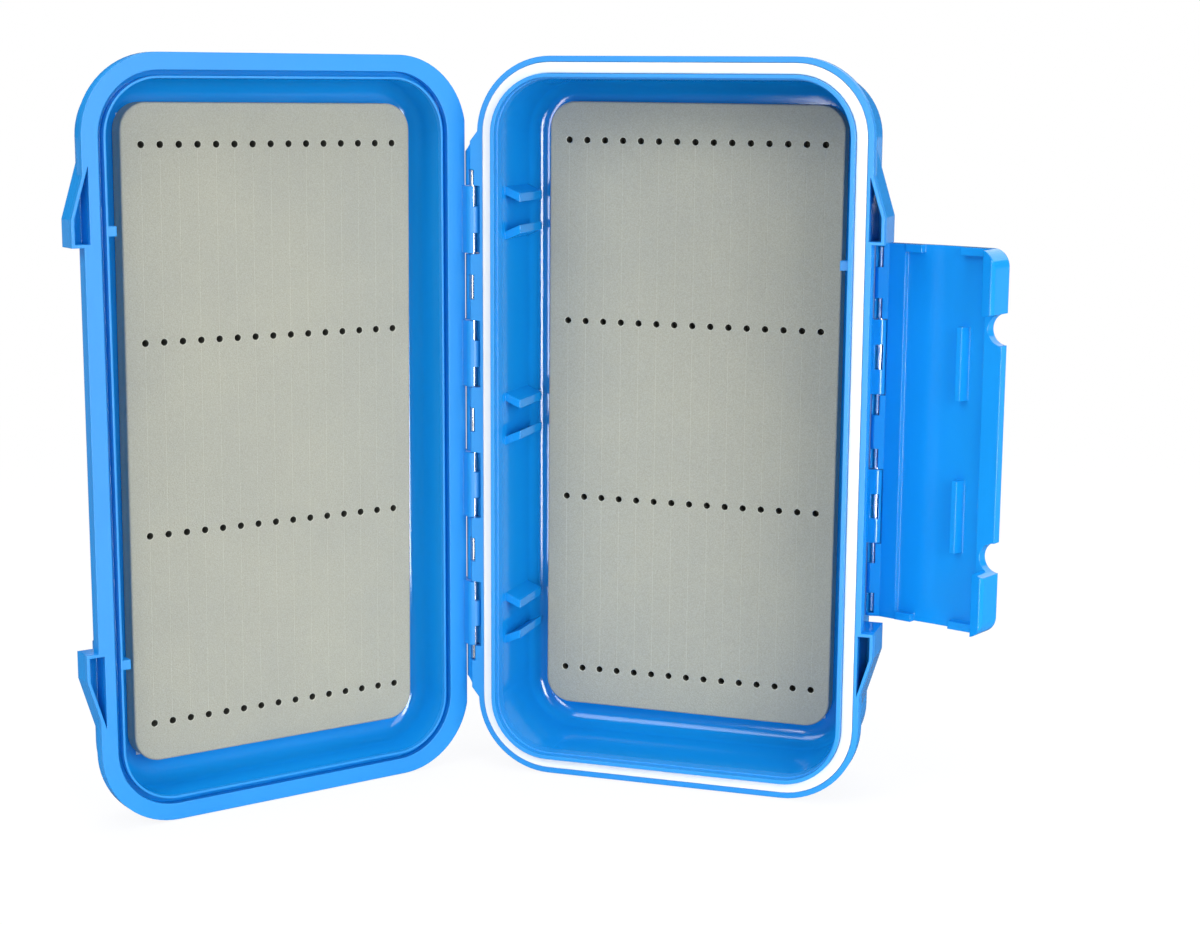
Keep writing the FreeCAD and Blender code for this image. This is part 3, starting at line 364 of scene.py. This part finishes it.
def grey_foam():
    """Fine-celled grey foam. The painted light and shade stored on a face lightens or darkens it."""
    material, tree, shader = node_material("grey_foam")
    place = own_place(tree)
    cells = add_node(tree, "ShaderNodeTexVoronoi", Vector=place, Scale=FOAM_CELLS).outputs["Distance"]
    speckle = noise(tree, place, **FOAM_SPECKLE)
    cloud = noise(tree, place, **FOAM_CLOUD)
    colour = add_node(tree, "ShaderNodeMix", {"data_type": "RGBA", "blend_type": "MULTIPLY"}, Factor=1.0)
    tree.links.new(ramp(tree, speckle, FOAM_GREY), colour.inputs[MIX_FIRST_COLOUR])
    tree.links.new(ramp(tree, cloud, FOAM_TINT), colour.inputs[MIX_SECOND_COLOUR])
    # Painted light and shade: each face's stored value scales the foam colour up for a painted highlight or
    # down for painted shade.
    painted_light = add_node(tree, "ShaderNodeAttribute", {"attribute_name": "painted_light"}).outputs["Fac"]
    brightness = span(tree, painted_light, (-1.0, 1.0), (0.0, 2.0))
    painted_foam_colour = add_node(tree, "ShaderNodeVectorMath", {"operation": "SCALE"}, Scale=brightness)
    tree.links.new(colour.outputs[MIX_RESULT_COLOUR], painted_foam_colour.inputs[0])
    tree.links.new(painted_foam_colour.outputs["Vector"], shader.inputs["Base Color"])
    tree.links.new(span(tree, cells, CELL_RANGE, FOAM_ROUGHNESS), shader.inputs["Roughness"])
    shader.inputs["Specular IOR Level"].default_value = FOAM_SPECULAR
    height = math_node(tree, "ADD", math_node(tree, "MULTIPLY", cells, CELL_HEIGHT),
                       math_node(tree, "MULTIPLY", speckle, SPECKLE_HEIGHT))
    relief(tree, shader, height)
    return material


def adhesive_film():
    """Milky double-sided film under the foam."""
    material, tree, shader = node_material("adhesive_film")
    cloud = noise(tree, own_place(tree), **FILM_CLOUD)
    tree.links.new(ramp(tree, cloud, FILM_WHITE), shader.inputs["Base Color"])
    tree.links.new(span(tree, cloud, CLOUD_RANGE, FILM_ROUGHNESS), shader.inputs["Roughness"])
    relief(tree, shader, cloud, FILM_HEIGHT)
    return material


def dress(node, material):
    """Gives a CAD node its material."""
    slots = frame["nodes"][node].material_slots
    if not slots:
        frame["nodes"][node].data.materials.append(material)
    for place in slots:
        place.material = material


# Foam pads.


def rounded_loop(half_x, half_y, corner):
    """Points of a rounded rectangle about zero, counterclockwise."""
    points = []
    for turn, (side_x, side_y) in enumerate(((1, 1), (-1, 1), (-1, -1), (1, -1))):
        centre = Vector((side_x * (half_x - corner), side_y * (half_y - corner)))
        for step in range(PAD_CORNER_STEPS + 1):
            angle = (turn + step / PAD_CORNER_STEPS) * math.pi / 2
            points.append(centre + corner * Vector((math.cos(angle), math.sin(angle))))
    return points


def circle_loop(centre, radius):
    """Points of a circle, counterclockwise."""
    angles = [2 * math.pi * step / HOLE_SIDES for step in range(HOLE_SIDES)]
    return [centre + radius * Vector((math.cos(angle), math.sin(angle))) for angle in angles]


def slit_loops(columns, rows):
    """Points of the narrow slits that run from hole to hole."""
    clear = HOLE_RADIUS + HOLE_LIP + SLIT_END_GAP
    loops = []
    for x in columns:
        left, right = x - SLIT_HALF_WIDTH, x + SLIT_HALF_WIDTH
        for start, end in zip(rows, rows[1:]):
            near, far = start + clear, end - clear
            corners = ((left, near), (right, near), (right, far), (left, far))
            loops.append([Vector(corner) for corner in corners])
    return loops


def ring(mesh, points, height):
    """New vertices at the flat points, all at one height."""
    return [mesh.verts.new((point.x, point.y, height)) for point in points]


def bridge(mesh, lower, upper):
    """Joins two loops of as many vertices with quads."""
    faces = []
    for place in range(len(lower)):
        following = (place + 1) % len(lower)
        faces.append(mesh.faces.new((lower[place], lower[following], upper[following], upper[place])))
    return faces


def within_rim(flat, face, pad_middle, half):
    """True if the middle of a face lies within the pad's rounded rim."""
    middle = sum((flat[index] for index in face), Vector((0, 0))) / len(face) - pad_middle
    corner = PAD_CORNER - PAD_EDGE
    over = Vector((max(abs(middle.x) - (half.x - corner), 0), max(abs(middle.y) - (half.y - corner), 0)))
    return over.length <= corner


def top_sheet(mesh, loops, height, pad_middle, half):
    """One sheet within the first loop, with the others left out of it. Gives the vertices of each loop."""
    points = []
    outlines = []
    for loop in loops:
        outlines.append(range(len(points), len(points) + len(loop)))
        points += loop
    edges = [(loop[place], loop[(place + 1) % len(loop)]) for loop in outlines for place in range(len(loop))]
    flat, _, faces, sources, _, _ = delaunay_2d_cdt(points, edges, [], 0, SHEET_TOLERANCE)
    place_of = {source: index for index, origin in enumerate(sources) for source in origin}
    rim, *cuts = [[place_of[index] for index in loop] for loop in outlines]
    cut_of = {index: number for number, loop in enumerate(cuts) for index in loop}
    on_rim = set(rim)
    top = ring(mesh, flat, height)
    for face in faces:
        touched = {cut_of.get(index) for index in face}
        within_cut = len(touched) == 1 and None not in touched
        beyond_rim = set(face) <= on_rim and not within_rim(flat, face, pad_middle, half)
        if not within_cut and not beyond_rim:
            mesh.faces.new([top[index] for index in face])
    return [[top[index] for index in loop] for loop in (rim, *cuts)]


def sink_hole(mesh, painted_light, rim, centre, height):
    """A small lip, a wall and a floor under the rim of a hole. The lip is painted lighter as a highlight, and
    the wall and floor darker as painted shade.
    """
    lip = ring(mesh, circle_loop(centre, HOLE_RADIUS), height - HOLE_LIP_DEPTH)
    floor = ring(mesh, circle_loop(centre, HOLE_FLOOR_RADIUS), height - HOLE_DEPTH)
    for face in bridge(mesh, rim, lip):
        face[painted_light] = LIP_PAINTED_HIGHLIGHT
    for face in bridge(mesh, lip, floor) + [mesh.faces.new(floor)]:
        face[painted_light] = HOLE_PAINTED_SHADE


def sink_slit(mesh, painted_light, corners, height):
    """A narrow V between two holes. Its two faces are painted lighter, as lit lines, one more than the other.
    """
    x = (corners[0].co.x + corners[1].co.x) / 2
    near = mesh.verts.new((x, corners[0].co.y, height - SLIT_DEPTH))
    far = mesh.verts.new((x, corners[2].co.y, height - SLIT_DEPTH))
    mesh.faces.new((corners[0], near, far, corners[3]))[painted_light] = SLIT_PAINTED_LIGHT[0]
    mesh.faces.new((near, corners[1], corners[2], far))[painted_light] = SLIT_PAINTED_LIGHT[1]
    mesh.faces.new((corners[0], corners[1], near))
    mesh.faces.new((corners[2], corners[3], far))


def pad_mesh(half_x, half_y, middle, thickness):
    """A pad that lies on zero: walls drawn in at the waist, a rounded upper edge, holes and slits."""
    mesh = bmesh.new()
    # Painted light and shade per face, read by the foam material.
    painted_light = mesh.faces.layers.float.new("painted_light")

    def outline(inset):
        loop = rounded_loop(half_x - inset, half_y - inset, PAD_CORNER - inset)
        return [middle + point for point in loop]

    small, large = EDGE_POINTS
    profile = [
        (0.0, 0.0),
        (PAD_WAIST, thickness / 2),
        (0.0, thickness - PAD_EDGE),
        (small * PAD_EDGE, thickness - large * PAD_EDGE),
        (large * PAD_EDGE, thickness - small * PAD_EDGE),
    ]
    rings = [ring(mesh, outline(inset), height) for inset, height in profile]
    for lower, upper in zip(rings, rings[1:]):
        bridge(mesh, lower, upper)
    mesh.faces.new(list(reversed(rings[0])))

    columns = [(column - (HOLE_COLUMNS - 1) / 2) * HOLE_PITCH for column in range(HOLE_COLUMNS)]
    rows = [(row - (HOLE_ROWS - 1) / 2) * ROW_PITCH for row in range(HOLE_ROWS)]
    holes = [Vector((x, y)) for x in columns for y in rows]
    hole_rims = [circle_loop(hole, HOLE_RADIUS + HOLE_LIP) for hole in holes]
    loops = [outline(PAD_EDGE)] + hole_rims + slit_loops(columns, rows)
    half = Vector((half_x - PAD_EDGE, half_y - PAD_EDGE))
    edge, *cuts = top_sheet(mesh, loops, thickness, middle, half)
    bridge(mesh, rings[-1], edge)
    for hole, rim in zip(holes, cuts):
        sink_hole(mesh, painted_light, rim, hole, thickness)
    for corners in cuts[len(holes):]:
        sink_slit(mesh, painted_light, corners, thickness)
    bmesh.ops.recalc_face_normals(mesh, faces=mesh.faces)
    return mesh


def foam_pad(name, node, body, turn, facing, laid, trim, material):
    """A slit foam pad with rows of holes, in place of a plain CAD pad.

    Its holes face up (1) or down (-1) in the lying box.
    """
    low, high = lying_box(node, turn)
    centre = (low + high) / 2
    hinge_side, latch_side, lower_end, upper_end = trim
    half_x = (high.x - low.x - hinge_side - latch_side) / 2
    half_y = (high.y - low.y - lower_end - upper_end) / 2
    middle = Vector(((hinge_side - latch_side) / 2, (lower_end - upper_end) / 2))
    mesh = pad_mesh(half_x, half_y, middle, high.z - low.z)

    aside, lengthwise, twist = laid
    lift = low.z if facing > 0 else high.z
    place = (Matrix.Translation((centre.x + aside, centre.y + lengthwise, lift))
             @ Matrix.Rotation(math.radians(twist), 4, "Z"))
    flip = Matrix.Diagonal((1, 1, facing, 1))
    to_frame = lying_matrix(HINGE, turn) @ Matrix.Scale(MM, 4) @ place @ flip
    bmesh.ops.transform(mesh, matrix=to_frame, verts=mesh.verts)
    if facing < 0:
        bmesh.ops.reverse_faces(mesh, faces=mesh.faces)
    data = bpy.data.meshes.new(name)
    mesh.to_mesh(data)
    mesh.free()
    pad = bpy.data.objects.new(name, data)
    bpy.context.scene.collection.objects.link(pad)
    data.materials.append(material)
    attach(pad, body)
    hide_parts(node)


# Studio.


def seen_directly(tree, path):
    """1 on rays that come straight from the camera or through something clear."""
    return math_node(tree, "MAXIMUM", path.outputs["Is Camera Ray"], path.outputs["Is Transmission Ray"])


def studio():
    """White surroundings, a pale floor and soft lamps."""
    scene = bpy.context.scene
    scene.view_settings.view_transform = "Standard"
    world = bpy.data.worlds.new("studio")
    scene.world = world
    world.use_nodes = True
    tree = world.node_tree
    tree.nodes.clear()
    path = add_node(tree, "ShaderNodeLightPath")
    strength = span(tree, path.outputs["Is Glossy Ray"], (0.0, 1.0), (WORLD_LIGHT, WORLD_MIRRORED))
    light = add_node(tree, "ShaderNodeBackground", Color=WORLD_COLOUR, Strength=strength)
    white = add_node(tree, "ShaderNodeBackground", Color=WHITE, Strength=1.0)
    output = add_node(tree, "ShaderNodeOutputWorld")
    mix_shaders(tree, seen_directly(tree, path), light, white, output.inputs["Surface"])
    floor()
    for name, settings in LAMPS.items():
        lamp(name, **settings)


def lamp(name, place, size, power, lights=True, mirrored=True):
    """A soft lamp that looks at the open box. Some only light it, some are only mirrored in it."""
    data = bpy.data.lights.new(name, "AREA")
    data.shape = "RECTANGLE"
    data.size, data.size_y = size
    data.energy = power
    target = Vector(LAMP_TARGET)
    if place[2] <= HIGH_LAMP:
        target.z = place[2]
    holder = bpy.data.objects.new(name, data)
    holder.location = place
    holder.rotation_euler = (Vector(place) - target).to_track_quat("Z", "Y").to_euler()
    holder.visible_diffuse = lights
    holder.visible_glossy = mirrored
    bpy.context.scene.collection.objects.link(holder)


def floor():
    """A pale floor that keeps the faint contact shadow."""
    middle = FLOOR_SIZE / 2 - FLOOR_FRONT
    bpy.ops.mesh.primitive_plane_add(size=FLOOR_SIZE, location=(0.0, middle, -FLOOR_DROP))
    plane = bpy.context.object
    plane.name = "studio_floor"
    material, tree, shader = node_material("studio_floor")
    place = add_node(tree, "ShaderNodeNewGeometry").outputs["Position"]
    tree.links.new(ramp(tree, noise(tree, place, **FLOOR_CLOUD), FLOOR_WHITE), shader.inputs["Base Color"])
    shader.inputs["Roughness"].default_value = FLOOR_ROUGHNESS
    shader.inputs["Specular IOR Level"].default_value = 0.0
    path = add_node(tree, "ShaderNodeLightPath")
    seen = seen_directly(tree, path)
    mirrored = math_node(tree, "MAXIMUM", seen, path.outputs["Is Glossy Ray"])
    reach = add_node(tree, "ShaderNodeVectorMath", {"operation": "LENGTH"})
    tree.links.new(place, reach.inputs[0])
    distance = reach.outputs["Value"]
    share = math_node(tree, "MULTIPLY", mirrored, span(tree, distance, WHITE_REACH, WHITE_SHARE))
    strength = math_node(tree, "MAXIMUM", seen, span(tree, distance, MIRROR_REACH, MIRROR_STRENGTH))
    white = add_node(tree, "ShaderNodeEmission", Color=WHITE, Strength=strength)
    mix_shaders(tree, share, shader, white, tree.nodes["Material Output"].inputs["Surface"])
    plane.data.materials.append(material)


def camera():
    """The camera at the photograph's viewing angle."""
    data = bpy.data.cameras.new("camera")
    data.lens = CAMERA_LENS
    data.sensor_width = CAMERA_SENSOR
    data.sensor_fit = "HORIZONTAL"
    data.clip_start = CAMERA_NEAR
    holder = bpy.data.objects.new("camera", data)
    turn = (Matrix.Rotation(math.radians(CAMERA_HEADING), 4, "Z")
            @ Matrix.Rotation(math.radians(90 - CAMERA_DOWN), 4, "X")
            @ Matrix.Rotation(math.radians(CAMERA_ROLL), 4, "Z"))
    holder.matrix_world = Matrix.Translation(HINGE + CAMERA_FROM_HINGE) @ turn
    bpy.context.scene.collection.objects.link(holder)
    bpy.context.scene.camera = holder


def build():
    """Dresses every piece, lays the foam pads and sets up the studio."""
    base_out = Vector((0, 1, 0))
    lid_out = lying_matrix(HINGE, LID_TURN).to_3x3() @ Vector((0, 0, 1))
    flap_out = lying_matrix(LATCH_PIN, LATCH_TURN).to_3x3() @ Vector((1, 0, 0))
    dress("base_shell", blue_plastic("blue_base", base_out, BASE_TRAY))
    dress("lid_shell", blue_plastic("blue_lid", lid_out, LID_TRAY))
    dress("latch_flap", blue_plastic("blue_flap", flap_out))
    dress("rim_seal", white_seal())
    steel = pin_steel()
    dress("hinge_pin", steel)
    dress("latch_pin", steel)
    film = adhesive_film()
    dress("base_foam_tape", film)
    dress("lid_foam_tape", film)
    foam = grey_foam()
    foam_pad("base_foam_pad", "base_foam", "base", 0.0, 1, BASE_PAD_LAID, BASE_PAD_TRIM, foam)
    foam_pad("lid_foam_pad", "lid_foam", "lid", LID_TURN, -1, LID_PAD_LAID, LID_PAD_TRIM, foam)
    studio()
    camera()


build()
